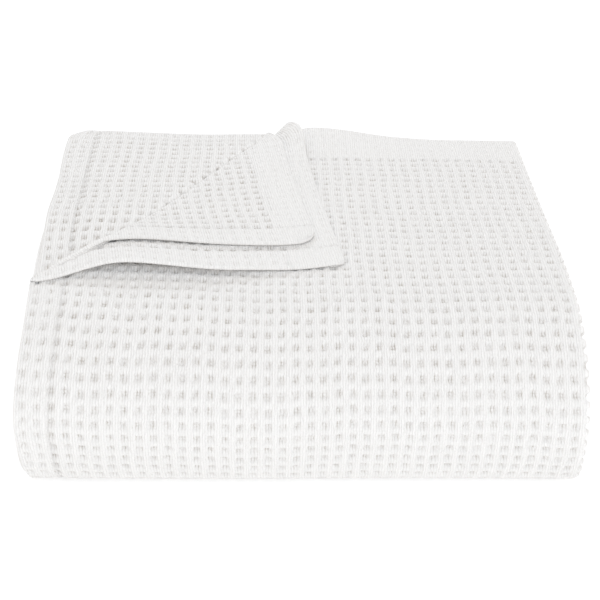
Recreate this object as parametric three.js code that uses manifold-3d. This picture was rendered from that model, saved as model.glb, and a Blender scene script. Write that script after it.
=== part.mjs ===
// A waffle weave cotton blanket, folded into a soft stack.
//
// The cloth is doubled once along its length, so that its two plies share a rounded fold on the
// right and end in two side hems on the left. The doubled strip then runs back and forth: it
// starts at the back of the top, goes round the front, comes back along the bottom, turns up and
// goes round the front again inside itself, and so on to the middle of the stack. The back left
// corner of the two top plies is turned over along a diagonal and lies on the top.
//
// Millimetres. X runs to the right, Y to the back, Z up. The stack is worked out with X = 0 at its
// middle, Y = 0 at its foremost point and Z = 0 at its base, and is then moved so that the origin
// is the middle of its box, at the base.

import * as THREE from 'three';
import * as BufferGeometryUtils from 'three/addons/utils/BufferGeometryUtils.js';
import Module from 'manifold-3d';

// ---------------------------------------------------------------- driving dimensions

const WIDTH = 406; // side hems to side fold, before the stack bulges
const DEPTH = 350; // end hem to the foremost point of the front
const CLOTH = 3.6; // thickness of the waffle cloth
const GAP = 1.05; // air between neighbouring plies
const ROUNDS = 7; // times that the doubled strip goes round the front
const NOSE_DEPTH = 76; // how far the outermost round front reaches, from where it starts

const NOSE_SQUARE = 5; // how square the lower half of the front is: 2 would be an ellipse

const SIDE_HEM = 24; // width of the side hems
const END_HEM = 42; // width of the plain end hems
const SEAM_HALF = 2.5; // half the width of the dip along a hem's stitching
const SEAM_DIP = 0.7; // how far the stitching draws the cloth in

const PLY = CLOTH + GAP; // from one ply to the next
const STRIP = 2 * PLY; // from one round to the next
const STRIP_HALF = CLOTH + GAP / 2; // half the thickness of the doubled strip
const REST = STRIP / 2 - STRIP_HALF; // lowest cloth above the rounds' own zero
const HEIGHT = ROUNDS * 2 * STRIP; // of the rounds, without the turned corner
const MIDDLE = HEIGHT / 2;
const NOSE_Y = NOSE_DEPTH + STRIP / 2; // where the fronts of the rounds begin
const BACK_Y = DEPTH - STRIP / 2; // where the folds at the back begin

const LEFT = -WIDTH / 2;
const RIGHT = WIDTH / 2;

// Steps of the mesh
const NOSE_STEPS = 11; // round the outermost front
const NOSE_STEPS_FEWEST = 5; // round the innermost front
const BACK_STEPS = 4; // round each fold at the back
const LEG_STEPS = 3; // along each flat stretch
const CROSS_STEPS = 4; // across the cloth, between the hem and the side fold
const SIDE_FOLD_STEPS = 4; // round the side fold

// How unevenly the rounds lie: how far each fold at the back stands out, and how far each round
// lies to the left or right of the middle.
const BACK_REACH = [0, -5, -2, -7, 1, -4];
const SIDE_SHIFT = [0, -2.5, 1.5, -1, 2.5, -2, 1];
const END_REACH = -6; // of the strip's inner end

// The corner that is turned over: the ridge of its fold runs from the left side to the back. It
// bows towards the middle of the stack, most of all near its left end.
const RIDGE_LEFT = new THREE.Vector2(-212, 90.5);
const RIDGE_BACK = new THREE.Vector2(-28, 343);
const RIDGE_BOW = 32;
const BOW_START = [-41, 74]; // along the ridge, where the bow grows from the left side
const BOW_END = [74, 334]; // and where most of it fades towards the back
const BOW_FADE = 0.8;
const FOLD_OVERLAP = 14; // how far the bend runs on into the plies that it belongs to
const FOLD_SKIN = 0.12; // the bend is this much inside their faces there
const FOLD_START = 1.5; // where it has its full thickness again
const CUT_STEPS = 23; // along the curved edge of the cut
const CUT_OVERLAP = 0.9; // the two top plies end this far short of the ridge's line
const CUT_REACH = 80; // how far the cut runs on past both ends of the ridge
const TURN_STEPS = 5; // round the bend
const EDGE_STEPS = 7; // along each of a flap's two hemmed edges
const REACH_STEPS = 5; // from the ridge to those edges
// Each flap: its place above the ply that it lies on, and the ends and the corner of its edges.
const FLAPS = [
  { level: 1, left: [-190, 86], corner: [31, 119], back: [3, 348] },
  { level: 2, left: [-194, 97], corner: [11, 141], back: [-17, 346] },
];

// How the stack settles
const BULGE_LEFT = 7; // left side at mid height
const BULGE_RIGHT = 2; // right side at mid height
const NOSE_DROP = 13; // the foremost point of the front hangs below mid height
const FRONT_SLOPE = 9; // the top falls towards the front
const LEFT_RISE = 5; // hems make the left side thicker
const CORNER_RISE = 18; // the layers that the turned corner has left free swell
const BACK_LIFT = 8; // the end hem is lifted near the turned corner
const PEAK = 8; // and the lower flap stands up there in a soft peak
const FRONT_LIFT = 8; // the flaps' front edges stand off the cloth below
const WAVE = 1.2; // slow unevenness of the layers

// ---------------------------------------------------------------- small helpers

const smooth = (low, high, value) => THREE.MathUtils.smoothstep(value, low, high);

// A closed body from rings of points: one ring for each step, ends closed by the ring's outline.
function sweptSolid(rings, outline) {
  const count = outline.length;
  const positions = rings.flat().flatMap((point) => [point.x, point.y, point.z]);
  const indices = [];
  for (let step = 0; step + 1 < rings.length; step += 1) {
    for (let side = 0; side < count; side += 1) {
      const next = (side + 1) % count;
      const here = step * count;
      const ahead = here + count;
      indices.push(here + side, here + next, ahead + next);
      indices.push(here + side, ahead + next, ahead + side);
    }
  }
  const last = (rings.length - 1) * count;
  for (const [a, b, c] of THREE.ShapeUtils.triangulateShape(outline, [])) {
    indices.push(a, c, b);
    indices.push(last + a, last + b, last + c);
  }
  const geometry = new THREE.BufferGeometry();
  geometry.setAttribute('position', new THREE.Float32BufferAttribute(positions, 3));
  geometry.setIndex(indices);
  return geometry;
}

// ---------------------------------------------------------------- the doubled strip

// Half of the strip's thickness at a place: it dips along the stitching of the hems.
function dip(distance, hem) {
  return SEAM_DIP * Math.max(0, 1 - Math.abs(distance - hem) / SEAM_HALF);
}

// Section across the strip: x across the cloth, y through it. Two plies and one side fold.
function stripOutline() {
  const foldCentre = RIGHT - STRIP_HALF;
  const hemStops = [0, SIDE_HEM - SEAM_HALF, SIDE_HEM, SIDE_HEM + SEAM_HALF];
  const outerStops = hemStops.map((stop) => LEFT + stop);
  const innerStops = [LEFT, LEFT + SIDE_HEM];
  for (let step = 1; step <= CROSS_STEPS; step += 1) {
    const share = step / CROSS_STEPS;
    outerStops.push(THREE.MathUtils.lerp(outerStops[hemStops.length - 1], foldCentre, share));
    innerStops.push(THREE.MathUtils.lerp(innerStops[1], foldCentre, share));
  }
  const outline = [];
  const half = (x) => STRIP_HALF - dip(x - LEFT, SIDE_HEM);
  for (const x of outerStops) outline.push(new THREE.Vector2(x, -half(x)));
  for (let step = 1; step < SIDE_FOLD_STEPS; step += 1) {
    const angle = -Math.PI / 2 + (Math.PI * step) / SIDE_FOLD_STEPS;
    const x = foldCentre + STRIP_HALF * Math.cos(angle);
    outline.push(new THREE.Vector2(x, STRIP_HALF * Math.sin(angle)));
  }
  for (const x of outerStops.toReversed()) outline.push(new THREE.Vector2(x, half(x)));
  for (const x of innerStops) outline.push(new THREE.Vector2(x, GAP / 2));
  outline.push(new THREE.Vector2(foldCentre + GAP / 2, 0));
  for (const x of innerStops.toReversed()) outline.push(new THREE.Vector2(x, -GAP / 2));
  return outline;
}

// The nose of one round, from the top to the bottom: an ellipse above, a squarer curve below,
// where the weight of the stack presses it to the ground.
function nose(radius, steps) {
  const reach = (NOSE_DEPTH * radius) / (MIDDLE - STRIP / 2);
  const places = [];
  for (let step = 0; step <= steps; step += 1) {
    const angle = (Math.PI * step) / steps;
    const power = angle > Math.PI / 2 ? NOSE_SQUARE : 2;
    const ahead = Math.abs(Math.sin(angle)) ** (2 / power);
    const up = Math.sign(Math.cos(angle)) * Math.abs(Math.cos(angle)) ** (2 / power);
    const normal = new THREE.Vector2(
      -(ahead ** (power - 1)) / reach,
      (Math.sign(up) * Math.abs(up) ** (power - 1)) / radius,
    );
    places.push({ y: NOSE_Y - reach * ahead, z: MIDDLE + radius * up, normal: normal.normalize() });
  }
  return places;
}

// A flat stretch of one round, from one place to another, without its first place.
function leg(from, to, z, up) {
  const places = [];
  for (let step = 1; step <= LEG_STEPS; step += 1) {
    const y = THREE.MathUtils.lerp(from, to, step / LEG_STEPS);
    places.push({ y, z, normal: new THREE.Vector2(0, up) });
  }
  return places;
}

// One round from its top end to its bottom end. The normals point out of the stack.
function oneRound(round, topEnd, bottomEnd) {
  const high = HEIGHT - STRIP * (round + 0.5);
  const steps = THREE.MathUtils.lerp(NOSE_STEPS, NOSE_STEPS_FEWEST, round / (ROUNDS - 1));
  const places = [{ y: topEnd, z: high, normal: new THREE.Vector2(0, 1) }];
  let legStart = topEnd;
  if (round === 0) {
    for (const side of [1, 0, -1]) {
      legStart = topEnd - END_HEM + side * SEAM_HALF;
      places.push({ y: legStart, z: high, normal: new THREE.Vector2(0, 1), seam: side === 0 });
    }
  }
  places.push(...leg(legStart, NOSE_Y, high, 1).slice(0, -1));
  places.push(...nose(high - MIDDLE, Math.round(steps)));
  places.push(...leg(NOSE_Y, bottomEnd, HEIGHT - high, -1));
  return places;
}

// The way that the strip runs, seen from the left: back and forth, round inside round.
function stripPath() {
  const path = [];
  for (let round = 0; round < ROUNDS; round += 1) {
    const backwards = round % 2 === 1;
    const entry = round === 0 ? DEPTH : BACK_Y + BACK_REACH[round - 1];
    const exit = BACK_Y + (round < ROUNDS - 1 ? BACK_REACH[round] : END_REACH);
    const places = backwards ? oneRound(round, exit, entry).reverse() : oneRound(round, entry, exit);
    const side = backwards ? -1 : 1;
    for (const { y, z, normal, seam } of places) {
      path.push({ y, z, normal: normal.multiplyScalar(side), seam, shift: SIDE_SHIFT[round] });
    }
    if (round === ROUNDS - 1) break;
    // The fold at the back that leads to the next round: low after even rounds, high after odd.
    const end = path[path.length - 1];
    const centre = end.z - (STRIP / 2) * end.normal.y * side;
    for (let step = 1; step < BACK_STEPS; step += 1) {
      const share = step / BACK_STEPS;
      const angle = Math.PI * share;
      const outward = new THREE.Vector2(Math.sin(angle), end.normal.y * side * Math.cos(angle));
      path.push({
        y: exit + (STRIP / 2) * outward.x,
        z: centre + (STRIP / 2) * outward.y,
        normal: outward.multiplyScalar(side),
        shift: THREE.MathUtils.lerp(SIDE_SHIFT[round], SIDE_SHIFT[round + 1], share),
      });
    }
  }
  return path;
}

function foldedStrip() {
  const outline = stripOutline();
  const rings = stripPath().map((place) => outline.map((point) => {
    const isFace = Math.abs(point.y) > GAP;
    const drawn = place.seam && isFace ? Math.sign(point.y) * SEAM_DIP : 0;
    const offset = point.y - drawn;
    const y = place.y + offset * place.normal.x;
    return new THREE.Vector3(point.x + place.shift, y, place.z + offset * place.normal.y);
  }));
  return sweptSolid(rings, outline);
}

// ---------------------------------------------------------------- the turned corner

const RIDGE = RIDGE_BACK.clone().sub(RIDGE_LEFT);
const ALONG = RIDGE.clone().normalize();
const ACROSS = new THREE.Vector2(ALONG.y, -ALONG.x); // from the ridge to the front right
const TOP_PLY = HEIGHT - REST - CLOTH / 2; // middle of the cloth's top ply
const TURN_CENTRE = TOP_PLY + PLY / 2;

// How far the ridge bows to the front right of its straight line, at a distance along it.
function bow(along) {
  return RIDGE_BOW * smooth(...BOW_START, along) * (1 - BOW_FADE * smooth(...BOW_END, along));
}

// A place on the ridge, at a share of its length.
function ridgePoint(share) {
  const point = RIDGE_LEFT.clone().lerp(RIDGE_BACK, share);
  return point.addScaledVector(ACROSS, bow(share * RIDGE.length()));
}

// How far a place lies beyond the ridge, on its back left side.
function beyondRidge(x, y) {
  const place = new THREE.Vector2(x, y).sub(RIDGE_LEFT);
  return bow(place.dot(ALONG)) - place.dot(ACROSS);
}

// Where a flap's edge lies: from its left end by its corner to its back end.
function flapEdge(flap, share) {
  const left = new THREE.Vector2(...flap.left);
  const corner = new THREE.Vector2(...flap.corner);
  const back = new THREE.Vector2(...flap.back);
  if (share < 0.5) return left.lerp(corner, 2 * share);
  return corner.lerp(back, 2 * share - 1);
}

// One ply's bend along the ridge, with the flap that it leads to. Each ring crosses the ridge: it
// starts inside the ply that is turned over, goes round the bend and ends at the flap's edge.
function turnedPly(flap) {
  const radius = (flap.level - 0.5) * PLY;
  const thin = CLOTH / 2 - FOLD_SKIN;
  const places = [
    { across: FOLD_OVERLAP, z: -radius, half: thin, normal: [0, 1], reach: 0 },
    { across: FOLD_START, z: -radius, half: thin, normal: [0, 1], reach: 0 },
  ];
  for (let step = 0; step <= TURN_STEPS; step += 1) {
    const angle = (Math.PI * step) / TURN_STEPS;
    const normal = [Math.sin(angle), Math.cos(angle)];
    const across = -radius * normal[0];
    places.push({ across, z: -radius * normal[1], half: CLOTH / 2, normal, reach: 0 });
  }
  for (let step = 1; step <= REACH_STEPS; step += 1) {
    const reach = step / REACH_STEPS;
    places.push({ across: 0, z: radius, half: CLOTH / 2, normal: [0, -1], reach });
  }
  const sides = [...places.map((place) => [place, 1]),
    ...places.toReversed().map((place) => [place, -1])];
  const outline = sides.map(([place, side]) => new THREE.Vector2(
    place.across + side * place.half * place.normal[0] + place.reach * REACH_STEPS * PLY,
    place.z + side * place.half * place.normal[1],
  ));
  const rings = [];
  for (let step = 2 * EDGE_STEPS; step >= 0; step -= 1) {
    const share = step / (2 * EDGE_STEPS);
    const root = ridgePoint(share);
    const edge = flapEdge(flap, share);
    rings.push(sides.map(([place, side]) => {
      const across = place.across + side * place.half * place.normal[0];
      const flat = root.clone().lerp(edge, place.reach).addScaledVector(ACROSS, across);
      return new THREE.Vector3(flat.x, flat.y, TURN_CENTRE + place.z
        + side * place.half * place.normal[1]);
    }));
  }
  return sweptSolid(rings, outline);
}

// What the two top plies no longer cover: all that lies beyond the ridge, above the next round.
function uncoveredSpace() {
  const line = [];
  for (let step = 0; step <= CUT_STEPS; step += 1) {
    line.push(ridgePoint(step / CUT_STEPS).addScaledVector(ACROSS, CUT_OVERLAP));
  }
  const start = line[0].clone().addScaledVector(ALONG, -CUT_REACH);
  const end = line[line.length - 1].clone().addScaledVector(ALONG, CUT_REACH);
  const shape = new THREE.Shape([start, ...line, end, new THREE.Vector2(start.x, end.y)]);
  const geometry = new THREE.ExtrudeGeometry(shape, { depth: STRIP, bevelEnabled: false });
  return geometry.translate(0, 0, HEIGHT - STRIP);
}

// ---------------------------------------------------------------- how the stack settles

// A soft bump: it rises from low to peak and falls again to high.
const bump = (low, peak, high, value) => smooth(low, peak, value) * (1 - smooth(peak, high, value));

// Moves a point of the regular stack to where the soft stack has it.
function settle(point) {
  const { x, y } = point;
  const height = Math.max(0, point.z - REST);
  const level = Math.min(1, height / HEIGHT);
  const belly = Math.sin(Math.PI * level);
  const free = smooth(6, 34, beyondRidge(x, y));
  const turned = smooth(HEIGHT - GAP, HEIGHT + GAP, point.z);
  let rise = LEFT_RISE * level * smooth(0, RIGHT, -x);
  rise += CORNER_RISE * level * free * smooth(100, 190, y);
  rise += BACK_LIFT * level * (1 - free) * smooth(300, DEPTH, y) * bump(-30, 15, 140, x);
  rise += PEAK * turned * smooth(290, DEPTH, y) * bump(-22, 4, 40, x);
  rise += FRONT_LIFT * turned * (1 - smooth(75, 150, y)) * bump(-200, -130, 10, x);
  rise -= NOSE_DROP * belly * (1 - smooth(0, 140, y));
  rise -= FRONT_SLOPE * level * (1 - smooth(10, 150, y));
  rise += WAVE * (belly * Math.sin(x / 47 + y / 61) + level * Math.sin(x / 83 - y / 55));
  const bulge = x < 0 ? BULGE_LEFT : BULGE_RIGHT;
  point.set(x * (1 + (bulge * belly) / RIGHT), y, height + rise);
}

// ---------------------------------------------------------------- the blanket

const wasm = await Module();
wasm.setup();

function toManifold(geometry) {
  const bare = geometry.clone();
  bare.deleteAttribute('normal');
  bare.deleteAttribute('uv');
  const merged = BufferGeometryUtils.mergeVertices(bare, 1e-4);
  return new wasm.Manifold(new wasm.Mesh({
    numProp: 3,
    vertProperties: merged.attributes.position.array,
    triVerts: new Uint32Array(merged.index.array),
  }));
}

function toGeometry(manifold) {
  const mesh = manifold.getMesh();
  const geometry = new THREE.BufferGeometry();
  geometry.setAttribute('position', new THREE.BufferAttribute(mesh.vertProperties, 3));
  geometry.setIndex(new THREE.BufferAttribute(mesh.triVerts, 1));
  return geometry;
}

function blanketGeometry() {
  let body = toManifold(foldedStrip()).subtract(toManifold(uncoveredSpace()));
  for (const flap of FLAPS) {
    body = body.add(toManifold(turnedPly(flap)));
  }
  const geometry = toGeometry(body);
  const places = geometry.attributes.position;
  const point = new THREE.Vector3();
  for (let index = 0; index < places.count; index += 1) {
    point.fromBufferAttribute(places, index);
    settle(point);
    places.setXYZ(index, point.x, point.y, point.z);
  }
  // The origin goes to the middle of the stack's base.
  geometry.computeBoundingBox();
  const middle = geometry.boundingBox.getCenter(new THREE.Vector3());
  geometry.translate(-middle.x, -middle.y, -geometry.boundingBox.min.z);
  geometry.computeVertexNormals();
  return geometry;
}

const cotton = new THREE.MeshStandardMaterial({ color: 0xf4f1ea, roughness: 0.95, metalness: 0 });

const blanket = new THREE.Mesh(blanketGeometry(), cotton);
blanket.name = 'blanket';

const model = new THREE.Group();
model.add(blanket);

export default model;
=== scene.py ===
"""Looks of the folded waffle weave cotton blanket.

The cloth is one doubled strip that runs back and forth through the stack, and its back left corner
is turned over. Each stretch of it is a thin sheet with the relief of the weave, laid on the folds
of the solid. Lengths are millimetres in the stack's own frame, as in the part's source, with X = 0
at the middle, Y = 0 at the foremost point and Z = 0 at the base. `to_metres` moves them to the
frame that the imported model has.
"""

import math

import bpy
import numpy as np
from mathutils import Matrix, Vector

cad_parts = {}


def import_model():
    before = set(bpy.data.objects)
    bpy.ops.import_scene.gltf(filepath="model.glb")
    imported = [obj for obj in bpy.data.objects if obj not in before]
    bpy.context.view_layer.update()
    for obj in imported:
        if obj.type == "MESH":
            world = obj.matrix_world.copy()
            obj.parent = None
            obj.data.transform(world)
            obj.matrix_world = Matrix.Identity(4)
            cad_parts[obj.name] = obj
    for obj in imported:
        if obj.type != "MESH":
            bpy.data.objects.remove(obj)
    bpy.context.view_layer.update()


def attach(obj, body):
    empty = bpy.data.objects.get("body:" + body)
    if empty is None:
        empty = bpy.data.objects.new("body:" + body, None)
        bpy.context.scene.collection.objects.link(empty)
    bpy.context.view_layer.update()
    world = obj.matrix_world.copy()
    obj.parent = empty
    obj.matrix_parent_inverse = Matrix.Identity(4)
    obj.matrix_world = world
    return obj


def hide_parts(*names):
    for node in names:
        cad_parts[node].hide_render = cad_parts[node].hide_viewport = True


# ---------------------------------------------------------------- the folded strip, as in the solid

WIDTH = 406.0  # side hems to side fold, before the stack bulges
DEPTH = 350.0  # end hem to the foremost point of the front
CLOTH = 3.6  # thickness of the waffle cloth
GAP = 1.05  # air between neighbouring plies
ROUNDS = 7  # times that the doubled strip goes round the front
NOSE_DEPTH = 76.0
NOSE_SQUARE = 5.0  # how square the lower half of the front is: 2 would be an ellipse
SIDE_HEM = 24.0
END_HEM = 42.0

PLY = CLOTH + GAP
STRIP = 2 * PLY
STRIP_HALF = CLOTH + GAP / 2
REST = STRIP / 2 - STRIP_HALF  # lowest cloth above the rounds' own zero
HEIGHT = ROUNDS * 2 * STRIP
MIDDLE = HEIGHT / 2
NOSE_Y = NOSE_DEPTH + STRIP / 2
BACK_Y = DEPTH - STRIP / 2
LEFT = -WIDTH / 2
RIGHT = WIDTH / 2

# How far each fold at the back stands out, and how far each round lies to the side.
BACK_REACH = (0, -5, -2, -7, 1, -4)
SIDE_SHIFT = (0, -2.5, 1.5, -1, 2.5, -2, 1)
END_REACH = -6.0

# The ridge of the turned corner runs from the left side to the back, and bows to the front right.
RIDGE_LEFT = np.array((-212.0, 90.5))
RIDGE_BACK = np.array((-28.0, 343.0))
RIDGE_BOW = 32.0
BOW_START = (-41.0, 74.0)  # along the ridge, where the bow grows
BOW_END = (74.0, 334.0)  # and where most of it fades
BOW_FADE = 0.8
RIDGE_LENGTH = float(np.linalg.norm(RIDGE_BACK - RIDGE_LEFT))
ALONG = (RIDGE_BACK - RIDGE_LEFT) / RIDGE_LENGTH
ACROSS = np.array((ALONG[1], -ALONG[0]))
TOP_PLY = HEIGHT - REST - CLOTH / 2  # middle of the cloth's top ply
TURN_CENTRE = TOP_PLY + PLY / 2

# How the stack settles. A span is where a form starts or fades, and a hump's place is where it
# starts, where it is highest and where it ends.
BULGE_LEFT = 7.0
BULGE_RIGHT = 2.0
NOSE_DROP = 13.0
DROP_SPAN = (0.0, 140.0)  # in y
FRONT_SLOPE = 9.0
SLOPE_SPAN = (10.0, 150.0)
LEFT_RISE = 5.0
FREE = (6.0, 34.0)  # beyond the ridge, where the layers under it come up
CORNER_RISE = 18.0
CORNER_SPAN = (100.0, 190.0)
BACK_LIFT = 8.0
BACK_SPAN = (300.0, DEPTH)
BACK_PLACE = (-30.0, 15.0, 140.0)  # in x
PEAK = 8.0
PEAK_SPAN = (290.0, DEPTH)
PEAK_PLACE = (-22.0, 4.0, 40.0)
FRONT_LIFT = 8.0
LIFT_SPAN = (75.0, 150.0)
LIFT_PLACE = (-200.0, -130.0, 10.0)
TURNED = (HEIGHT - GAP, HEIGHT + GAP)  # in z, from the stack to the corner turned over on it
WAVE = 1.2
BELLY_WAVE = (47.0, 61.0)  # lengths in x and in y of the wave at mid height
LEVEL_WAVE = (83.0, -55.0)  # and of the one that grows with the height

STACK_MIDDLE = np.array((-2.54, 177.98, 0.0))  # of the solid's box, in the stack's own frame
MM = 0.001
LAYERS = ("pit", "hem", "seam")  # what a mesh tells its material about each point

# ---------------------------------------------------------------- how the cloth settles besides

# In z, the second round's top, which the turned corner leaves uncovered: it starts in one span and
# ends in the other, below the two plies that are turned over.
UNCOVERED_FROM = (HEIGHT - 2.4 * STRIP, HEIGHT - 1.7 * STRIP)
UNCOVERED_TO = (TOP_PLY - 1.8 * PLY, TOP_PLY - 1.8 * PLY + 2)
FREE_UNCOVERED = (2.0, 7.0)  # beyond the ridge, where it comes up: right beside the bend
NESTLE = 2.0  # how much further it comes up there
NESTLE_PLACE = (*FREE_UNCOVERED, 70.0)  # beyond the ridge
NESTLE_SPAN = (90.0, 150.0)  # in y
BACK_LIFT_NEAR = 5.0  # the back hem's further lift close to the turned corner
NEAR_SPAN = (310.0, DEPTH)
NEAR_PLACE = (-30.0, 10.0, 90.0)
CORNER_DROOP = 4.0  # the uncovered back left corner hangs a little
DROOP_REACH = 16.0

HEM_REACH = 45.0  # how far in from a side hem the cloth follows it
HEM_WANDER = 1.3  # how far hems stray from a straight line
LONG_WANDER = 53.0
SHORT_WANDER = 21.0
SHORT_SHARE = 0.6
PLIES_APART = 2.1  # so that the two plies' hems don't stray alike
TUCK = 2.5  # how far the inner rounds' hems lie in from the outer round's
CORNER_ROUND = 7.0  # how far hems are drawn in at the folds at the back, so that corners are round
CORNER_ROUND_FROM = 20.0  # and how far ahead of the folds that starts

# ---------------------------------------------------------------- the cloth

CELL = 10.0  # from one ridge of the weave to the next
FINE = CELL / 8  # step of the mesh where the cloth shows from above and in front
BACK_STEP = CELL / 6  # at the folds at the back
SIDE_STEP = CELL / 4  # along the sides of the inner layers
COARSE = 30.0  # where other layers hide it
NEAR_SIDE = 34.0  # how far in from a side the inner layers' mesh is fine
BACK_SHOWN = 14.0  # how much of a layer shows at the back besides its fold
SHOWN_FROM = 100.0  # the second round's top shows behind this y
SHOWN_SHARE = 0.56  # and as far as this share of its width from its hem
FOLD_RADIUS = PLY / 2
FOLD_ARC = math.pi * FOLD_RADIUS
FOLD_STEPS = 12  # round the side fold
PLY_WIDTH = RIGHT - STRIP_HALF - LEFT  # of one ply, hem to side fold
CLOTH_WIDTH = 2 * PLY_WIDTH + FOLD_ARC
EDGE_ROUND = CLOTH / 2  # radius of its edges
EDGE_TURN = (180, 150, 120, 90, 60, 30)  # degrees round an edge, from the inner to the outer face
EDGE_REACH = 12.0  # how far a sheet runs on along its inner face, behind an edge
NORMAL_STEP = 0.4  # to either side, for the slope of a surface
RIDGE_MARGIN = 0.5  # the top's own sheet ends this far short of the ridge's line

PIT_DEPTH = 2.8
PIT_EDGE = (0.34, 0.68)  # where a pit's wall starts and ends, as a share of the way to its middle
PIT_SQUARE = 9.0  # how square its corners are
PIT_UNEVEN = 0.2  # how much deeper or shallower pits are than others
UNEVEN_WAVES = ((2.3, 1.1), (-0.7, 2.9))  # how fast they change with u and with v
# Ridges stray from a straight grid in waves: how far, how fast with u and with v, and from where.
STRAY_U = ((0.07, 0.0, 0.61, 0.5), (0.05, 0.35, 1.7, 0.0))
STRAY_V = ((0.07, 0.53, 0.0, 1.9), (0.05, 1.9, -0.31, 0.0))

# How much painted shade the pits get: less on the front, where light reaches into them, and less still
# near the ground; more on the top, and most on the turned corner and on the top that it leaves
# uncovered.
TOP_PITS = 1.3
FRONT_PITS = 0.6
FRONT_SPAN = (180.0, 520.0)  # along the strip, from the top to the bottom of the front
TURNED_CORNER_PIT_SHADE = 1.7

HEM_STEP = 1.0  # half the width over which the relief changes at a hem
END_HEM_RELIEF = 0.2  # the weave's relief left in an end hem, where the cloth is double
UPPER_END_HEM = 28.0  # the upper flap's end hem is the narrower one
SEAM_WIDTH = 2.6  # of its groove
END_SEAM_SHARE = 0.2  # the end hem's seam is less deep than the side hem's
PUCKER = 0.35  # how uneven the groove is
PUCKER_LENGTH = 0.46  # in cells

STITCH = 3.0  # the length of a stitch
STITCH_PITCH = 4.6
STITCH_SINK = 1.0  # how far its ends dip into the cloth
STITCH_RINGS = (-0.5, -0.3, 0.3, 0.5)  # along it, as shares of its length
STITCH_DIPS = (-1, 0, 0, -1)  # and which of them dip
THREAD_RADIUS = 0.3
THREAD_SIDES = 6

# ---------------------------------------------------------------- the turned corner

# How each flap's front hem runs, by (distance from its corner, how far it stands forward of the
# straight line, how far it stands off the cloth below).
LOWER_HEM = (
    (0, 2, 0),
    (35, 5, 0),
    (70, 5, 1),
    (100, 7, 2),
    (125, 5.5, 3),
    (150, 2.5, 4),
    (172, -1, 4),
    (192, -2, 2),
    (205, -1, 0),
    (226, 2, -1),
)
UPPER_HEM = (
    (0, 0, 0),
    (30, 1, 0.5),
    (60, -2, 1.5),
    (85, -5, 2.2),
    (110, -10, 3),
    (130, -14, 3.5),
    (150, -16, 4),
    (172, -14, 3.5),
    (192, -9, 2.5),
    (212, -4, 1),
)
HEM_BLEND = 24.0  # the length over which such a line is rounded
BLEND_POINTS = 7
FORWARD_REACH = 60.0  # how far in from its hem a flap follows such a line
LIFT_REACH = 95.0  # and how far in it is lifted
END_BOW = 2.5  # how far the flaps' end hems are drawn in at their middle
TIP_ROUND = 11.0  # how far their far tips are drawn in, so that they are round
TIP_ROUND_REACH = 26.0
TIP_LIFT = 4.0  # and how far they stand up
TIP_REACH = 34.0
TIP_POINTS = 200  # along the end hem, to find the tip
BEND_REACH = 0.65  # how far a flap's bend reaches, as a share of a half circle's radius
BEND_SQUARE = 2.6  # and how square it is
TURNED_UNDER = 5.0  # how far a flap runs on below its bend
TURN_IN = 46.0  # how far it runs on at its left, round the end of the ridge
SIDE_LIMIT = LEFT + 1.0  # and no further out than this

# ---------------------------------------------------------------- camera, light and floor

# Millimetres in the stack's own frame, and degrees.
CAMERA_PLACE = (-35.7, -737.5, 610.3)
CAMERA_LENS = 76.8
CAMERA_SENSOR = 36.0
CAMERA_CLIP = (0.05, 20.0)  # metres
CAMERA_PITCH = 31.0
CAMERA_YAW = 2.18
CAMERA_ROLL = 1.37

# From here on metres and watts. The lamps are cooler than the sky, so that shadows are warm.
LAMP_COLOUR = (0.77, 0.87, 1.0)
LAMPS = (
    {"name": "back", "place": (-0.5, 1.3, 1.6), "target": (0, 0, 0.1), "size": 0.7, "power": 11.4},
    {"name": "front", "place": (0.4, -1.8, 1.6), "target": (0, -0.1, 0.06), "size": 1.6, "power": 22.8},
)
SKY_COLOUR = (1, 0.955, 0.9, 1)
SKY_STRENGTH = 0.68
GAMMA = 1.35  # a high key picture
FLOOR_HALF = 6.0


CIRCLE = 2.0  # how square a circle is
TINY = 1e-9
COUNT_TINY = 1e-6  # of a step, when steps are counted


def smooth(low, high, value):
    """0 below low, 1 above high and a soft step between them."""
    share = np.clip((value - low) / (high - low), 0, 1)
    return share * share * (3 - 2 * share)


def bump(low, peak, high, value):
    return smooth(low, peak, value) * (1 - smooth(peak, high, value))


def squared(value, square):
    """A sine or cosine, bent from a circle's towards a rounded square's."""
    return np.sign(value) * np.abs(value) ** (CIRCLE / square)


def bow(along):
    fall = 1 - BOW_FADE * smooth(*BOW_END, along)
    return RIDGE_BOW * smooth(*BOW_START, along) * fall


def beyond_ridge(x, y):
    """How far places lie beyond the ridge, on its back left side."""
    along = (x - RIDGE_LEFT[0]) * ALONG[0] + (y - RIDGE_LEFT[1]) * ALONG[1]
    across = (x - RIDGE_LEFT[0]) * ACROSS[0] + (y - RIDGE_LEFT[1]) * ACROSS[1]
    return bow(along) - across


def slow_wave(x, y, length_x, length_y):
    return np.sin(x / length_x + y / length_y)


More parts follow.
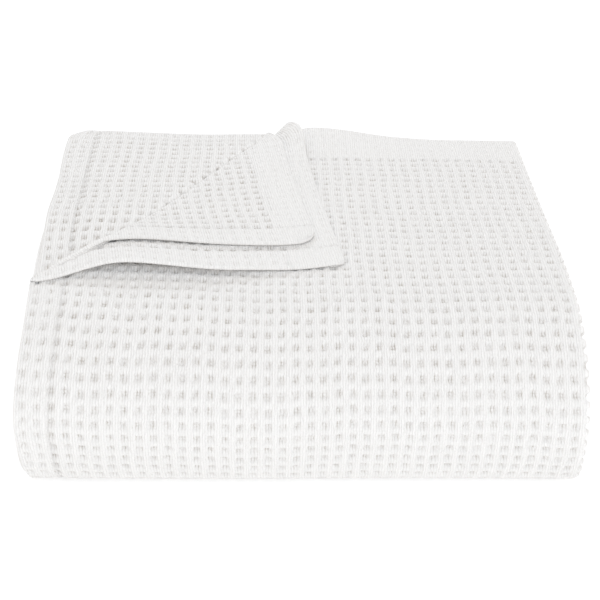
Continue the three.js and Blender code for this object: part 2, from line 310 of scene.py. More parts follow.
def settle(x, y, z):
    """Moves places of the regular stack to where the soft stack has them."""
    height = np.maximum(0, z - REST)
    level = np.minimum(1, height / HEIGHT)
    belly = np.sin(np.pi * level)
    turned = smooth(*TURNED, z)
    beyond = beyond_ridge(x, y)
    uncovered = smooth(*UNCOVERED_FROM, z) * (1 - smooth(*UNCOVERED_TO, z))
    free = smooth(*FREE, beyond)
    free = free + uncovered * (smooth(*FREE_UNCOVERED, beyond) - free)
    at_corner = 1 - smooth(0, DROOP_REACH, np.hypot(x - LEFT, y - BACK_Y))
    rise = LEFT_RISE * level * smooth(0, RIGHT, -x)
    rise = rise + CORNER_RISE * level * free * smooth(*CORNER_SPAN, y)
    rise = rise + NESTLE * uncovered * bump(*NESTLE_PLACE, beyond) * smooth(*NESTLE_SPAN, y)
    rise = rise + BACK_LIFT * level * (1 - free) * smooth(*BACK_SPAN, y) * bump(*BACK_PLACE, x)
    rise = rise + BACK_LIFT_NEAR * level * (1 - free) * smooth(*NEAR_SPAN, y) * bump(*NEAR_PLACE, x)
    rise = rise - CORNER_DROOP * level * free * at_corner
    rise = rise + PEAK * turned * smooth(*PEAK_SPAN, y) * bump(*PEAK_PLACE, x)
    rise = rise + FRONT_LIFT * turned * (1 - smooth(*LIFT_SPAN, y)) * bump(*LIFT_PLACE, x)
    rise = rise - NOSE_DROP * belly * (1 - smooth(*DROP_SPAN, y))
    rise = rise - FRONT_SLOPE * level * (1 - smooth(*SLOPE_SPAN, y))
    waves = belly * slow_wave(x, y, *BELLY_WAVE) + level * slow_wave(x, y, *LEVEL_WAVE)
    rise = rise + WAVE * waves
    bulge = np.where(x < 0, BULGE_LEFT, BULGE_RIGHT)
    return np.stack((x * (1 + bulge * belly / RIGHT), y, height + rise), axis=-1)


# ---------------------------------------------------------------- the way that the strip runs

ARC_STEPS = 90  # along half a nose, and along each leg
TURN_STEPS = 24  # round a fold at the back


def round_line(high, top_end, bottom_end):
    """(y, z) from the back of a round's top, round its nose, to the back of its bottom."""
    radius = high - MIDDLE
    reach = NOSE_DEPTH * radius / (MIDDLE - STRIP / 2)
    angle = np.linspace(0, math.pi, 2 * ARC_STEPS + 1)
    # The middle of the nose is still part of the round upper half.
    square = np.where(angle > math.pi / 2 + TINY, NOSE_SQUARE, CIRCLE)
    ahead = squared(np.sin(angle), square)
    up = squared(np.cos(angle), square)
    nose = np.stack((NOSE_Y - reach * ahead, MIDDLE + radius * up), axis=1)
    top_y = np.linspace(top_end, NOSE_Y, ARC_STEPS)
    bottom_y = np.linspace(NOSE_Y, bottom_end, ARC_STEPS)
    top = np.stack((top_y, np.full(ARC_STEPS, high)), axis=1)
    bottom = np.stack((bottom_y, np.full(ARC_STEPS, HEIGHT - high)), axis=1)
    return np.concatenate((top[:-1], nose, bottom[1:]))


def strip_line():
    """The strip's middle line as rows of (y, z, shift), and the row where each round starts."""
    rows, starts, count = [], [], 0
    for number in range(ROUNDS):
        high = HEIGHT - STRIP * (number + 0.5)
        start = DEPTH if number == 0 else BACK_Y + BACK_REACH[number - 1]
        end = BACK_Y + (BACK_REACH[number] if number < ROUNDS - 1 else END_REACH)
        backwards = number % 2 == 1
        if backwards:
            line = round_line(high, end, start)[::-1]
        else:
            line = round_line(high, start, end)
        shift = np.full((len(line), 1), SIDE_SHIFT[number])
        starts.append(count)
        rows.append(np.hstack((line, shift)))
        count += len(line)
        if number == ROUNDS - 1:
            break
        # The fold at the back that leads to the next round: low after even rounds, high after odd.
        towards = -1 if backwards else 1
        share = np.linspace(0, 1, TURN_STEPS + 2)[1:-1]
        turn = math.pi * share
        y = end + STRIP / 2 * np.sin(turn)
        z = line[-1, 1] + towards * STRIP / 2 * (1 - np.cos(turn))
        shift = SIDE_SHIFT[number] + (SIDE_SHIFT[number + 1] - SIDE_SHIFT[number]) * share
        rows.append(np.stack((y, z, shift), axis=1))
        count += len(share)
    return np.concatenate(rows), starts


LINE, ROUND_STARTS = strip_line()
STEPS = np.linalg.norm(np.diff(LINE[:, :2], axis=0), axis=1)
DISTANCE = np.concatenate(((0,), np.cumsum(STEPS)))
TANGENT = np.gradient(LINE[:, :2], DISTANCE, axis=0)
TANGENT /= np.linalg.norm(TANGENT, axis=1)[:, None]
LINE_END = DISTANCE[-1]


def along_at(number, y, top):
    """The distance along the strip where a round's top or bottom leg passes y."""
    first = ROUND_STARTS[number]
    last = ROUND_STARTS[number + 1] if number < ROUNDS - 1 else len(LINE)
    rows = np.arange(first, last)
    leg = rows[(LINE[rows, 1] > MIDDLE) == top]
    return DISTANCE[leg[np.argmin(np.abs(LINE[leg, 0] - y))]]


BASE_END = along_at(0, BACK_Y, False)


def fold_span(number):
    """Where the strip folds at the back after a round, with a little of the layers on both sides."""
    after = ROUND_STARTS[number + 1]
    return DISTANCE[after - TURN_STEPS - 1] - BACK_SHOWN, DISTANCE[after] + BACK_SHOWN


def draw_hems(x, y, across, along):
    """x with the side hems drawn in and straying a little, each ply's in its own way."""
    near = 1 - smooth(0, HEM_REACH, np.minimum(across, CLOTH_WIDTH - across))
    own = np.where(across < CLOTH_WIDTH / 2, 0.0, PLIES_APART)
    x = x + TUCK * near * smooth(0, TUCK, along - BASE_END)
    rounding = np.clip((y - BACK_Y + CORNER_ROUND_FROM) / CORNER_ROUND_FROM, 0, 1) ** 2
    x = x + CORNER_ROUND * near * rounding * (along > BASE_END)
    stray = np.sin(along / LONG_WANDER + own) + SHORT_SHARE * np.sin(along / SHORT_WANDER + 2 * own)
    return x + HEM_WANDER * near * stray


def strip_place(across, along):
    """Settled places on the cloth's middle surface. across runs from one side hem to the other."""
    y = np.interp(along, DISTANCE, LINE[:, 0])
    z = np.interp(along, DISTANCE, LINE[:, 1])
    shift = np.interp(along, DISTANCE, LINE[:, 2])
    toward_y = np.interp(along, DISTANCE, TANGENT[:, 0])
    toward_z = np.interp(along, DISTANCE, TANGENT[:, 1])
    beyond = across - PLY_WIDTH
    turn = np.clip(beyond / FOLD_RADIUS, 0, math.pi)
    x = LEFT + np.minimum(across, PLY_WIDTH) - np.maximum(beyond - FOLD_ARC, 0)
    x = draw_hems(x + FOLD_RADIUS * np.sin(turn) + shift, y, across, along)
    out = FOLD_RADIUS * np.cos(turn)
    return settle(x, y + out * toward_z, z - out * toward_y)


class Strip:
    """The doubled strip as a cloth. Its places are told by (across, along) in cloth_sheet."""

    end_hem = END_HEM
    groove = 1.1  # the depth of its side seams
    side_relief = 0.75  # the weave's relief left in a side hem
    place = staticmethod(strip_place)

    def __init__(self, uncovered=False):
        self.uncovered = uncovered

    def pit_shade(self, along):
        """How much painted shade the pits get."""
        if self.uncovered:
            return TURNED_CORNER_PIT_SHADE
        outer = TOP_PITS + (FRONT_PITS - TOP_PITS) * smooth(*FRONT_SPAN, along)
        return np.where(along < BASE_END, outer, 1.0)

    @staticmethod
    def hems(across, along):
        """How far places are from the side hems and the end hems."""
        return np.minimum(across, CLOTH_WIDTH - across), np.minimum(along, LINE_END - along)


STRIP_CLOTH = Strip()
UNCOVERED_CLOTH = Strip(uncovered=True)


# ---------------------------------------------------------------- the flaps of the turned corner


class Flap:
    """One ply of the turned corner. Its places are told by their distances from its two hems.

    level counts such plies from the stack upwards. The side hem runs from its corner to the left and
    the end hem from there to the back.
    """

    groove = 0.4
    side_relief = 0.3

    def __init__(self, level, left, corner, back, front_hem, corner_radius, end_hem):
        self.radius = (level - 0.5) * PLY
        self.corner = np.array(corner, float)
        to_left = np.array(left, float) - self.corner
        to_back = np.array(back, float) - self.corner
        self.front_length = float(np.linalg.norm(to_left))
        self.side_length = float(np.linalg.norm(to_back))
        self.front = to_left / self.front_length
        self.side = to_back / self.side_length
        self.hem = np.array(front_hem, float)
        self.corner_radius = corner_radius
        self.end_hem = end_hem
        self.tip = self.side_length  # until it is known where the end hem comes to the ridge
        sides = np.linspace(0, self.side_length, TIP_POINTS)
        self.tip = sides[beyond_ridge(*self.flat(np.zeros_like(sides), sides)) < 0][-1]

    @staticmethod
    def pit_shade(_):
        """How much painted shade the pits get, the same wherever they are."""
        return TURNED_CORNER_PIT_SHADE

    def line(self, column, from_end):
        """A column of the front hem's table as a rounded line."""
        spread = np.linspace(-HEM_BLEND / 2, HEM_BLEND / 2, BLEND_POINTS)
        around = np.expand_dims(from_end, -1) + spread
        return np.interp(around, self.hem[:, 0], self.hem[:, column]).mean(axis=-1)

    def near_tip(self, from_end, from_side):
        """1 at the far tip, where the end hem comes to the ridge, and from there round the bend."""
        return 1 - smooth(0, TIP_REACH, np.hypot(from_end, np.minimum(from_side - self.tip, 0)))

    def drawn_in(self, from_end, from_side):
        """How far places are drawn in from the end hem and from the side hem."""
        # The corner is rounded as a square is mapped to a disc.
        end_share = np.clip(1 - from_end / self.corner_radius, 0, 1)
        side_share = np.clip(1 - from_side / self.corner_radius, 0, 1)
        end_drawn = self.corner_radius * end_share * (1 - np.sqrt(1 - side_share**2 / 2))
        side_drawn = self.corner_radius * side_share * (1 - np.sqrt(1 - end_share**2 / 2))
        from_tip = np.hypot(from_end / 2, np.minimum(from_side - self.tip, 0))
        end_drawn = end_drawn + TIP_ROUND * np.clip(1 - from_tip / TIP_ROUND_REACH, 0, 1) ** 2
        end_drawn = end_drawn + END_BOW * np.sin(math.pi * np.clip(from_side / self.side_length, 0, 1))
        return end_drawn, side_drawn

    def flat(self, from_end, from_side):
        """(x, y) on the flat flap, from_end off the end hem's edge and from_side off the side hem's."""
        forward = self.line(1, from_end) * (1 - smooth(0, FORWARD_REACH, from_side))
        end_drawn, side_drawn = self.drawn_in(from_end, from_side)
        to_end = from_end + end_drawn
        to_side = from_side + side_drawn - forward
        x = self.corner[0] + self.front[0] * to_end + self.side[0] * to_side
        y = self.corner[1] + self.front[1] * to_end + self.side[1] * to_side
        return x, y

    def place(self, from_end, from_side):
        """Settled places on the flap's middle surface, and round the bend on what it turns under."""
        x, y = self.flat(from_end, from_side)
        past = beyond_ridge(x, y)
        turn = np.clip(past / self.radius, 0, math.pi)
        # The ridge's own line, and from there round the bend and back under it.
        foot_x = x + ACROSS[0] * np.maximum(past, 0)
        foot_y = y + ACROSS[1] * np.maximum(past, 0)
        back = -BEND_REACH * self.radius * squared(np.sin(turn), BEND_SQUARE)
        back = back + np.maximum(past - math.pi * self.radius, 0)
        z = TURN_CENTRE + self.radius * squared(np.cos(turn), BEND_SQUARE)
        inside_x = np.maximum(foot_x + ACROSS[0] * back, SIDE_LIMIT)
        settled = settle(inside_x, foot_y + ACROSS[1] * back, z)
        lift = self.line(2, from_end) * (1 - smooth(0, LIFT_REACH, from_side))
        settled[..., 2] += lift + TIP_LIFT * self.near_tip(from_end, from_side)
        return settled

    @staticmethod
    def hems(from_end, from_side):
        """How far places are from the side hem and the end hem."""
        return from_side, from_end

    def kept(self, from_end, from_side):
        past = beyond_ridge(*self.flat(from_end, from_side))
        return past < math.pi * self.radius + TURNED_UNDER


LOWER_FLAP = Flap(
    level=1,
    left=(-190, 86),
    corner=(31, 119),
    back=(3, 348),
    front_hem=LOWER_HEM,
    corner_radius=4,
    end_hem=END_HEM,
)
UPPER_FLAP = Flap(
    level=2,
    left=(-194, 97),
    corner=(11, 141),
    back=(-17, 346),
    front_hem=UPPER_HEM,
    corner_radius=18,
    end_hem=UPPER_END_HEM,
)


# ---------------------------------------------------------------- the weave's relief


def pit_share(u, v):
    """0 on the ridges of the weave and 1 in the middle of a pit, u and v in cells."""
    to_u = 1 - np.abs(2 * (u - np.floor(u)) - 1)
    to_v = 1 - np.abs(2 * (v - np.floor(v)) - 1)
    nearest = -np.log(np.exp(-PIT_SQUARE * to_u) + np.exp(-PIT_SQUARE * to_v)) / PIT_SQUARE
    return smooth(*PIT_EDGE, nearest)


def drift(u, v):
    """Hand-made unevenness of the weave: ridges stray a little from a straight grid."""

    def stray(waves):
        return sum(size * np.sin(u * by_u + v * by_v + start) for size, by_u, by_v, start in waves)

    return u + stray(STRAY_U), v + stray(STRAY_V)


def unevenness(u, v):
    """How deep pits are, against PIT_DEPTH."""
    first, second = (np.sin(u * by_u + v * by_v) for by_u, by_v in UNEVEN_WAVES)
    return 1 + PIT_UNEVEN * first * second


def relief(u, v, cloth, from_side, from_end):
    """Height of the face off its flat place, with the shares of pit, hem and seam."""
    in_end = 1 - smooth(cloth.end_hem - HEM_STEP, cloth.end_hem + HEM_STEP, from_end)
    in_side = 1 - smooth(SIDE_HEM - HEM_STEP, SIDE_HEM + HEM_STEP, from_side)
    left = (1 - (1 - END_HEM_RELIEF) * in_end) * (1 - (1 - cloth.side_relief) * in_side)
    pits = pit_share(*drift(u, v)) * left
    seams = np.exp(-(((from_side - SIDE_HEM) / SEAM_WIDTH) ** 2))
    end_seam = np.exp(-(((from_end - cloth.end_hem) / SEAM_WIDTH) ** 2))
    seams = np.maximum(seams, END_SEAM_SHARE * end_seam)
    pucker = 1 + PUCKER * np.sin((u + v) * 2 * math.pi / PUCKER_LENGTH)
    height = -PIT_DEPTH * pits * unevenness(u, v) - cloth.groove * seams * pucker
    return height, pits, np.maximum(in_end, (1 - cloth.side_relief) * in_side), seams * cloth.groove


# ---------------------------------------------------------------- sheets of cloth


def to_metres(places):
    return (places - STACK_MIDDLE) * MM


def stops(start, end, step):
    """Even stations no further apart than a step."""
    count = max(1, int(math.ceil(abs(end - start) / step - COUNT_TINY)))
    return np.linspace(start, end, count + 1)


def faced(values):
    """Stations on the outer face: each is (coordinate, 1)."""
    return np.stack((values, np.ones_like(values)), axis=1)


def edge_stations(edge, inward):
    """Stations that come along the inner face to an edge and round it. inward is 1 or -1."""
    turn = np.radians(EDGE_TURN)
    place = edge + inward * EDGE_ROUND * (1 - np.sin(turn))
    rounded = np.stack((place, np.cos(turn)), axis=1)
    inner = np.array(((edge + inward * EDGE_REACH, -1.0), (edge + inward * EDGE_REACH / 2, -1.0)))
    return np.concatenate((inner, rounded))


def full_width(shown_first, shown_last, step=FINE):
    """Stations across the whole strip. Each ply is finely meshed as far in from its hem as it shows."""
    sides = []
    for shown in (shown_first, shown_last):
        if shown > PLY_WIDTH - NEAR_SIDE:
            sides.append(stops(EDGE_ROUND, PLY_WIDTH, step))
            continue
        inner = max(shown, NEAR_SIDE)
        outer = stops(EDGE_ROUND, inner, step if shown > NEAR_SIDE else SIDE_STEP)
        hidden = stops(inner, PLY_WIDTH - NEAR_SIDE, COARSE)
        folded = stops(PLY_WIDTH - NEAR_SIDE, PLY_WIDTH, SIDE_STEP)
        sides.append(np.concatenate((outer[:-1], hidden[:-1], folded)))
    fold = np.linspace(PLY_WIDTH, PLY_WIDTH + FOLD_ARC, FOLD_STEPS + 1)[1:-1]
    first_edge = edge_stations(0.0, 1)
    last_edge = edge_stations(CLOTH_WIDTH, -1)[::-1]
    last = (CLOTH_WIDTH - sides[1])[::-1]
    return np.concatenate((first_edge, faced(sides[0]), faced(fold), faced(last), last_edge))


def add_object(name, data):
    made = bpy.data.objects.new(name, data)
    bpy.context.scene.collection.objects.link(made)
    return made


def add_mesh(name, places, faces, layers, uv, material):
    """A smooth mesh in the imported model's frame, with point attributes and the cloth's own map."""
    mesh = bpy.data.meshes.new(name)
    mesh.vertices.add(len(places))
    mesh.vertices.foreach_set("co", to_metres(places).astype(np.float32).ravel())
    mesh.loops.add(4 * len(faces))
    mesh.loops.foreach_set("vertex_index", faces.astype(np.int32).ravel())
    mesh.polygons.add(len(faces))
    mesh.polygons.foreach_set("loop_start", np.arange(0, 4 * len(faces), 4, dtype=np.int32))
    mesh.polygons.foreach_set("use_smooth", np.ones(len(faces), dtype=bool))
    mesh.update(calc_edges=True)
    mesh.validate()
    for layer, values in layers.items():
        attribute = mesh.attributes.new(layer, "FLOAT", "POINT")
        attribute.data.foreach_set("value", values.astype(np.float32).ravel())
    cloth_map = mesh.uv_layers.new(name="Cloth")
    cloth_map.data.foreach_set("uv", uv[faces.ravel()].astype(np.float32).ravel())
    mesh.materials.append(material)
    return add_object(name, mesh)


def face_normal(place, a, b):
    """Unit normals of a surface on its outer side."""
    by_a = place(a + NORMAL_STEP, b) - place(a - NORMAL_STEP, b)
    by_b = place(a, b + NORMAL_STEP) - place(a, b - NORMAL_STEP)
    normal = np.cross(by_b, by_a)
    return normal / (np.linalg.norm(normal, axis=-1)[..., None] + TINY)


def grid_faces(rows, columns):
    """The four-sided faces of a grid of points."""
    corner = np.arange(rows * columns).reshape(rows, columns)
    quads = (corner[1:, :-1], corner[1:, 1:], corner[:-1, 1:], corner[:-1, :-1])
    return np.stack(quads, axis=-1).reshape(-1, 4)


def cloth_sheet(name, cloth, across, along, material, keep=None):
    """A sheet of cloth with the weave's relief on its outer face.

    The stations in across and along are (coordinate, face): 1 is the outer face, 0 an edge and -1
    the inner face. keep says which places of the cloth the sheet has.
    """
    a, b = np.meshgrid(across[:, 0], along[:, 0])
    face = np.minimum(*np.meshgrid(across[:, 1], along[:, 1]))
    u, v = a / CELL, b / CELL
    height, pits, hem, seams = relief(u, v, cloth, *cloth.hems(a, b))
    outside = np.clip(face, 0, 1)
    height = height * outside + CLOTH / 2 * face
    places = cloth.place(a, b) + face_normal(cloth.place, a, b) * height[..., None]
    places[..., 2] = np.maximum(places[..., 2], 0)  # it lies on the ground
    faces = grid_faces(*a.shape)
    used = np.ones(a.size, dtype=bool)
    if keep is not None:
        faces = faces[keep(a, b).ravel()[faces].all(axis=1)]
        used = np.isin(np.arange(a.size), faces)
        faces = (np.cumsum(used) - 1)[faces]
    # The pits' share is scaled by how much painted shade they get.
    shares = (pits * outside * cloth.pit_shade(b), hem, seams * outside)
    layers = {layer: values.ravel()[used] for layer, values in zip(LAYERS, shares)}
    uv = np.stack((u, v), axis=-1).reshape(-1, 2)[used]
    return add_mesh(name, places.reshape(-1, 3)[used], faces, layers, uv, material)


def on_top(across, along):
    """False where the two top plies have been turned over, and so are gone from their place."""
    y = np.interp(along, DISTANCE, LINE[:, 0])
    x = LEFT + np.minimum(across, PLY_WIDTH) - np.maximum(across - PLY_WIDTH - FOLD_ARC, 0)
    return beyond_ridge(x, y) < -RIDGE_MARGIN


# ---------------------------------------------------------------- materials


class Nodes:
    """Short names for adding and joining the nodes of one material."""

    def __init__(self, material):
        material.use_nodes = True
        self.tree = material.node_tree
        self.shader = self.tree.nodes["Principled BSDF"]

    def add(self, kind, **settings):
        node = self.tree.nodes.new(kind)
        for name, value in settings.items():
            setattr(node, name, value)
        return node

    def join(self, source, target):
        self.tree.links.new(source, target)

    def set_or_join(self, value, socket):
        if isinstance(value, (int, float)):
            socket.default_value = value
        elif isinstance(value, tuple):
            socket.default_value = (*value, 1.0)
        else:
            self.join(value, socket)

    def finish(self, colour, values):
        """The shader's colour and its other values, which are the same all over."""
        self.set_or_join(colour, self.shader.inputs["Base Color"])
        for name, value in values.items():
            self.shader.inputs[name].default_value = value

    def math(self, operation, first, second=0.0, third=0.0):
        node = self.add("ShaderNodeMath", operation=operation)
        for socket, value in zip(node.inputs, (first, second, third)):
            self.set_or_join(value, socket)
        return node.outputs[0]

    def times(self, *values):
        result = values[0]
        for value in values[1:]:
            result = self.math("MULTIPLY", result, value)
        return result

    def clamp(self, value):
        node = self.add("ShaderNodeClamp")
        self.join(value, node.inputs["Value"])
        return node.outputs[0]

    def blend(self, data_type, socket_type, share, first, second):
        """A value that goes from first to second."""
        node = self.add("ShaderNodeMix", data_type=data_type)
        self.set_or_join(share, node.inputs["Factor"])
        for name, value in (("A", first), ("B", second)):
            wanted = (name, socket_type)
            self.set_or_join(value, next(s for s in node.inputs if (s.name, s.type) == wanted))
        return next(s for s in node.outputs if s.type == socket_type)

    def mix(self, share, first, second):
        """A number that goes from first to second."""
        return self.blend("FLOAT", "VALUE", share, first, second)

    def tint(self, share, first, second):
        """A colour that goes from first to second."""
        return self.blend("RGBA", "RGBA", share, first, second)

    def attribute(self, layer):
        return self.add("ShaderNodeAttribute", attribute_name=layer).outputs["Fac"]

    def cloth_map(self):
        """The cloth's own map, and its coordinates across and along in cells."""
        where = self.add("ShaderNodeUVMap", uv_map="Cloth").outputs[0]
        split = self.add("ShaderNodeSeparateXYZ")
        self.join(where, split.inputs[0])
        return where, split.outputs[0], split.outputs[1]

    def noise(self, where, stretch, detail):
        """Noise that changes as many times in a cell as stretch says, across and along."""
        stretched = self.add("ShaderNodeMapping")
        stretched.inputs["Scale"].default_value = (*stretch, 1.0)
        self.join(where, stretched.inputs["Vector"])
        node = self.add("ShaderNodeTexNoise")
        node.inputs["Scale"].default_value = 1.0
        node.inputs["Detail"].default_value = detail
        self.join(stretched.outputs[0], node.inputs["Vector"])
        return node.outputs["Fac"]

    def bump(self, height, depth, strength=1.0):
        """Low relief of the shader, its depth in metres."""
        node = self.add("ShaderNodeBump")
        node.inputs["Strength"].default_value = strength
        node.inputs["Distance"].default_value = depth
        self.join(height, node.inputs["Height"])
        self.join(node.outputs[0], self.shader.inputs["Normal"])


RIDGE_COLOUR = (0.935, 0.914, 0.888)
# The darkest colour, warm as shade in cream cotton: painted shade deep between yarns, in pits and in
# seams, and the dark end of the cloth's uneven tone.
DARK_TONE_AND_SHADE_COLOUR = (0.49, 0.44, 0.385)  # deep between yarns
COTTON_FINISH = {
    "Roughness": 0.92,
    "Specular IOR Level": 0.2,
    "Sheen Weight": 0.2,
    "Sheen Roughness": 0.6,
}

YARNS = 5  # in a cell
WOBBLE_STRETCH = (2.6, 2.6)
WOBBLE = 0.2  # how far yarns stray, in cells
PIT_WEFT = 0.6  # how much the crosswise yarns show in a pit's floor
HEM_WEFT = 0.35  # and in a hem
STRAND_STRETCH = (YARNS * 1.1, 1.7)
STRAND_CONTRAST = (3.2, -1.15)  # factor and shift, from noise to gaps that are open or closed
GAP_SHARPNESS = 1.6
FIBRE_STRETCH = (15.0, 7.0)
CLOUD_STRETCH = (0.45, 0.45)
# How much each of these darkens the cloth, on the way from the ridges' colour to the darkest one:
# painted shade in the pits, the gaps and the seams, and the cloth's uneven tone in fibres and clouds.
FIBRE_SHADE = 0.85
PIT_SHADE = 0.15
GAP_SHADE = 0.22
GAP_SHADE_IN_PITS = 1.0  # besides
SEAM_SHADE = 0.1
CLOUD_SHADE = 0.15
# The shader's own relief: heights against a yarn's, and its depth in metres.
FIBRE_HEIGHT = 0.9
STRAND_HEIGHT = 0.7
COTTON_BUMP = 0.0007
COTTON_BUMP_STRENGTH = 0.8

THREAD_SHADE = (0.86, 0.845, 0.83)
THREAD_ROUGHNESS = 0.7
THREAD_BUMP = 0.0001
TWISTS = 1.2  # of the thread in a millimetre

FLOOR_COLOUR = (0.9, 0.9, 0.9)
FLOOR_FINISH = {
    "Roughness": 1.0,
    "Specular IOR Level": 0.0,
    "Emission Color": (1, 1, 1, 1),
    "Emission Strength": 0.3,
}


def cotton_material():
    """Waffle weave cotton: yarns with gaps between them, pits, fibres and an uneven tone, with painted
    shade in the gaps, the pits and the seams.
    """
    material = bpy.data.materials.new("waffle_cotton")
    nodes = Nodes(material)
    where, u, v = nodes.cloth_map()
    pit, hem, seam = (nodes.attribute(layer) for layer in LAYERS)
    wobble = nodes.times(nodes.math("SUBTRACT", nodes.noise(where, WOBBLE_STRETCH, 2.0), 0.5), WOBBLE)

    def yarns(value):
        """1 along the middle of each yarn and 0 between two."""
        turned = nodes.times(nodes.math("ADD", value, wobble), math.pi * YARNS)
        return nodes.math("ABSOLUTE", nodes.math("SINE", turned))

    def crossed(weft):
        """Lengthwise yarns with some of the crosswise ones."""
        return nodes.times(lengthwise, nodes.math("MULTIPLY_ADD", crosswise, weft, 1 - weft))

    lengthwise, crosswise = yarns(u), yarns(v)
    # Floats on the ridges are long yarns; a pit's floor is plain weave, and so is a hem.
    weave = nodes.mix(hem, nodes.mix(pit, lengthwise, crossed(PIT_WEFT)), crossed(HEM_WEFT))

    # Some gaps between yarns are open, with painted shade in them, and others closed, each for about a
    # cell's length.
    strands = nodes.noise(where, STRAND_STRETCH, 1.0)
    opened = nodes.clamp(nodes.math("MULTIPLY_ADD", strands, *STRAND_CONTRAST))
    gap = nodes.math("POWER", nodes.math("SUBTRACT", 1.0, weave), GAP_SHARPNESS)
    gap = nodes.times(gap, opened)

    # Fibres make a fine grain of lighter and darker flecks, longer along the cloth.
    fibres = nodes.noise(where, FIBRE_STRETCH, 3.0)
    grain = nodes.times(nodes.math("SUBTRACT", fibres, 0.5), FIBRE_SHADE)
    # Painted shade: the pits, the open gaps between yarns (more so in pits) and the seams' grooves are
    # darkened, on top of the fibres' grain.
    shade = nodes.math("MULTIPLY_ADD", pit, PIT_SHADE, grain)
    gap_shade = nodes.math("MULTIPLY_ADD", pit, GAP_SHADE_IN_PITS, GAP_SHADE)
    shade = nodes.math("ADD", shade, nodes.times(gap, gap_shade))
    shade = nodes.math("ADD", shade, nodes.times(seam, SEAM_SHADE))
    clouds = nodes.math("SUBTRACT", nodes.noise(where, CLOUD_STRETCH, 3.0), 0.5)
    depth = nodes.clamp(nodes.math("MULTIPLY_ADD", clouds, CLOUD_SHADE, shade))
    nodes.finish(nodes.tint(depth, RIDGE_COLOUR, DARK_TONE_AND_SHADE_COLOUR), COTTON_FINISH)

    height = nodes.math("MULTIPLY_ADD", fibres, FIBRE_HEIGHT, weave)
    height = nodes.math("MULTIPLY_ADD", strands, STRAND_HEIGHT, height)
    nodes.bump(height, COTTON_BUMP, COTTON_BUMP_STRENGTH)
    return material


def thread_material():
    """Two-ply sewing thread: its twist is slanted bands along each stitch."""
    material = bpy.data.materials.new("sewing_thread")
    nodes = Nodes(material)
    _, around, along = nodes.cloth_map()
    slanted = nodes.math("MULTIPLY_ADD", along, TWISTS, around)
    band = nodes.math("ABSOLUTE", nodes.math("SINE", nodes.times(slanted, 2 * math.pi)))
    nodes.finish(nodes.tint(band, THREAD_SHADE, RIDGE_COLOUR), {"Roughness": THREAD_ROUGHNESS})
    nodes.bump(band, THREAD_BUMP)
    return material


# ---------------------------------------------------------------- the blanket


def outer_round(material):
    """The two outer plies: top, front and bottom."""
    top_end = along_at(0, NOSE_Y, True)
    front_end = along_at(0, NOSE_Y, False)
    base_end = fold_span(0)[0]
    fine = full_width(PLY_WIDTH, 0)
    hem = edge_stations(0.0, 1)
    top_along = np.concatenate((hem, faced(stops(EDGE_ROUND, top_end, FINE))))
    top = cloth_sheet("cloth_top", STRIP_CLOTH, fine, top_along, material, on_top)
    front_along = faced(stops(top_end, front_end, FINE))
    front = cloth_sheet("cloth_front", STRIP_CLOTH, fine, front_along, material)
    base_along = faced(stops(front_end, base_end, SIDE_STEP))
    base = cloth_sheet("cloth_base", STRIP_CLOTH, full_width(0, 0), base_along, material)
    return [top, front, base]


def inner_round(number, material):
    """The layers of one round inside the stack, up to the fold at the back that ends it."""
    name = f"cloth_round_{number + 1}"
    start = fold_span(number - 1)[1]
    last = number == ROUNDS - 1
    end = LINE_END if last else fold_span(number)[0]
    spans = [(name, STRIP_CLOTH, start, end, 0)]
    if number == 1:
        # Its top shows beyond the ridge, on the ply that faces out of the stack there.
        uncovered = along_at(1, SHOWN_FROM, True)
        spans = [
            (name, STRIP_CLOTH, start, uncovered, 0),
            (name + "_top", UNCOVERED_CLOTH, uncovered, end, SHOWN_SHARE * PLY_WIDTH),
        ]
    pieces = []
    for part, cloth, first, until, shown in spans:
        along = faced(stops(first, until, FINE if shown else SIDE_STEP))
        if last:
            # The last station gives way to the rounded edge.
            along = np.concatenate((along[:-1], edge_stations(LINE_END, -1)[::-1]))
        piece = cloth_sheet(part, cloth, full_width(0, shown), along, material)
        pieces.append(piece)
    return pieces


def back_fold(number, material):
    """The fold at the back after a round. The ply on its outside changes from fold to fold."""
    name = f"cloth_back_{number + 1}"
    start, end = fold_span(number)
    step = FINE if number == 1 else BACK_STEP
    shown = (PLY_WIDTH, 0) if number % 2 == 0 else (0, PLY_WIDTH)
    along = faced(stops(start, end, step))
    piece = cloth_sheet(name, STRIP_CLOTH, full_width(*shown, step), along, material)
    return piece


def flap_piece(name, flap, material):
    edge = edge_stations(0.0, 1)
    across = np.concatenate((edge, faced(stops(EDGE_ROUND, flap.front_length + TURN_IN, FINE))))
    along = np.concatenate((edge, faced(stops(EDGE_ROUND, flap.side_length, FINE))))
    piece = cloth_sheet(name, flap, across, along, material, flap.kept)
    return piece


def seam(cloth, a, b, shown=slice(None)):
    """Places, directions and normals of the stitches along a line of the cloth, where it shows."""
    a, b = np.broadcast_arrays(np.asarray(a, float), np.asarray(b, float))
    normal = face_normal(cloth.place, a, b)
    places = cloth.place(a, b) + normal * (CLOTH / 2 - cloth.groove / 2)
    ahead = np.gradient(places, axis=0)
    ahead /= np.linalg.norm(ahead, axis=1)[:, None]
    return places[shown], ahead[shown], normal[shown]


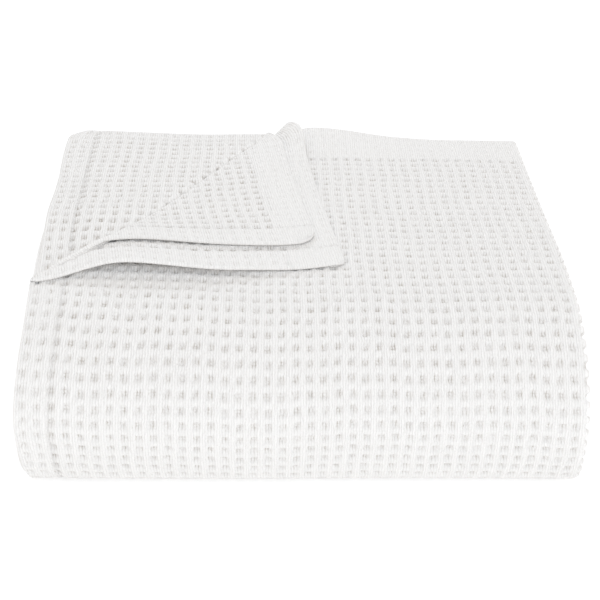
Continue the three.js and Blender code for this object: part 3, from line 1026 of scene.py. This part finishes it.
def all_seams():
    """Every row of stitches that shows from above or in front."""
    top = stops(SIDE_HEM, along_at(0, NOSE_Y, False), STITCH_PITCH)
    rows = [seam(STRIP_CLOTH, SIDE_HEM, top, on_top(SIDE_HEM, top))]
    hem = stops(EDGE_ROUND, PLY_WIDTH, STITCH_PITCH)
    rows.append(seam(STRIP_CLOTH, hem, END_HEM, on_top(hem, END_HEM)))
    second = stops(along_at(1, SHOWN_FROM, True), fold_span(1)[1], STITCH_PITCH)
    rows.append(seam(STRIP_CLOTH, CLOTH_WIDTH - SIDE_HEM, second))
    for flap in (LOWER_FLAP, UPPER_FLAP):
        front = stops(EDGE_ROUND, flap.front_length, STITCH_PITCH)
        side = stops(EDGE_ROUND, flap.side_length, STITCH_PITCH)
        rows.append(seam(flap, front, SIDE_HEM, flap.kept(front, SIDE_HEM)))
        rows.append(seam(flap, flap.end_hem, side, flap.kept(flap.end_hem, side)))
    return [np.concatenate(parts) for parts in zip(*rows)]


def stitch_piece(material):
    """The sewing thread: each stitch is a small tube whose ends dip into the cloth."""
    places, ahead, normal = all_seams()
    count, rings = len(places), len(STITCH_RINGS)
    aside = np.cross(ahead, normal)
    reach = np.array(STITCH_RINGS) * STITCH
    dip = np.array(STITCH_DIPS) * STITCH_SINK
    side = np.arange(THREAD_SIDES)
    angle = side / THREAD_SIDES * 2 * math.pi
    around_out = THREAD_RADIUS * np.cos(angle)
    around_side = THREAD_RADIUS * np.sin(angle)
    middle = places[:, None] + ahead[:, None] * reach[:, None] + normal[:, None] * dip[:, None]
    ring = normal[:, None, None] * around_out[:, None] + aside[:, None, None] * around_side[:, None]
    points = (middle[:, :, None] + ring).reshape(-1, 3)
    first = np.arange(count)[:, None, None] * rings * THREAD_SIDES
    first = first + np.arange(rings - 1)[:, None] * THREAD_SIDES
    corner = first + side
    beside = first + (side + 1) % THREAD_SIDES
    quads = (corner, beside, beside + THREAD_SIDES, corner + THREAD_SIDES)
    faces = np.stack(quads, axis=-1).reshape(-1, 4)
    plain = {layer: np.zeros(len(points)) for layer in LAYERS}
    along = np.repeat(np.tile(reach, count), THREAD_SIDES)
    uv = np.stack((np.tile(angle / (2 * math.pi), count * rings), along), axis=1)
    return add_mesh("stitches", points, faces, plain, uv, material)


def make_floor():
    mesh = bpy.data.meshes.new("floor")
    signs = ((-1, -1), (1, -1), (1, 1), (-1, 1))
    corners = [(FLOOR_HALF * x, FLOOR_HALF * y, 0) for x, y in signs]
    mesh.from_pydata(corners, [], [(0, 1, 2, 3)])
    floor = add_object("floor", mesh)
    material = bpy.data.materials.new("floor_white")
    Nodes(material).finish(FLOOR_COLOUR, FLOOR_FINISH)
    floor.data.materials.append(material)


def make_camera():
    angles = (CAMERA_PITCH, CAMERA_YAW, CAMERA_ROLL)
    pitch, yaw, roll = (math.radians(angle) for angle in angles)
    north = math.cos(yaw) * math.cos(pitch)
    east = math.sin(yaw) * math.cos(pitch)
    ahead = Vector((east, north, -math.sin(pitch)))
    level = ahead.cross(Vector((0, 0, 1))).normalized()
    upright = level.cross(ahead)
    right = math.cos(roll) * level + math.sin(roll) * upright
    up = math.cos(roll) * upright - math.sin(roll) * level
    turn = Matrix((right, up, -ahead)).transposed().to_4x4()
    data = bpy.data.cameras.new("camera")
    data.lens = CAMERA_LENS
    data.sensor_width = CAMERA_SENSOR
    data.clip_start, data.clip_end = CAMERA_CLIP
    camera = add_object("camera", data)
    camera.matrix_world = Matrix.Translation(Vector(to_metres(np.array(CAMERA_PLACE)))) @ turn
    bpy.context.scene.camera = camera


def make_lamp(name, place, target, size, power):
    data = bpy.data.lights.new(name, "AREA")
    data.shape = "DISK"
    data.size = size
    data.energy = power
    data.color = LAMP_COLOUR
    lamp = add_object(name, data)
    lamp.location = place
    lamp.rotation_euler = (Vector(target) - Vector(place)).to_track_quat("-Z", "Y").to_euler()


def make_studio():
    scene = bpy.context.scene
    scene.view_settings.view_transform = "Standard"
    scene.view_settings.gamma = GAMMA
    world = bpy.data.worlds.new("studio")
    scene.world = world
    world.use_nodes = True
    sky = world.node_tree.nodes["Background"]
    sky.inputs["Color"].default_value = SKY_COLOUR
    sky.inputs["Strength"].default_value = SKY_STRENGTH
    for lamp in LAMPS:
        make_lamp(**lamp)


def main():
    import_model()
    make_camera()
    cotton = cotton_material()
    stitches = stitch_piece(thread_material())
    pieces = [stitches, *outer_round(cotton)]
    for number in range(1, ROUNDS):
        pieces.append(back_fold(number - 1, cotton))
        pieces += inner_round(number, cotton)
    pieces.append(flap_piece("flap_lower", LOWER_FLAP, cotton))
    pieces.append(flap_piece("flap_upper", UPPER_FLAP, cotton))
    for piece in pieces:
        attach(piece, "root")
        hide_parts("blanket")
    make_floor()
    make_studio()


main()
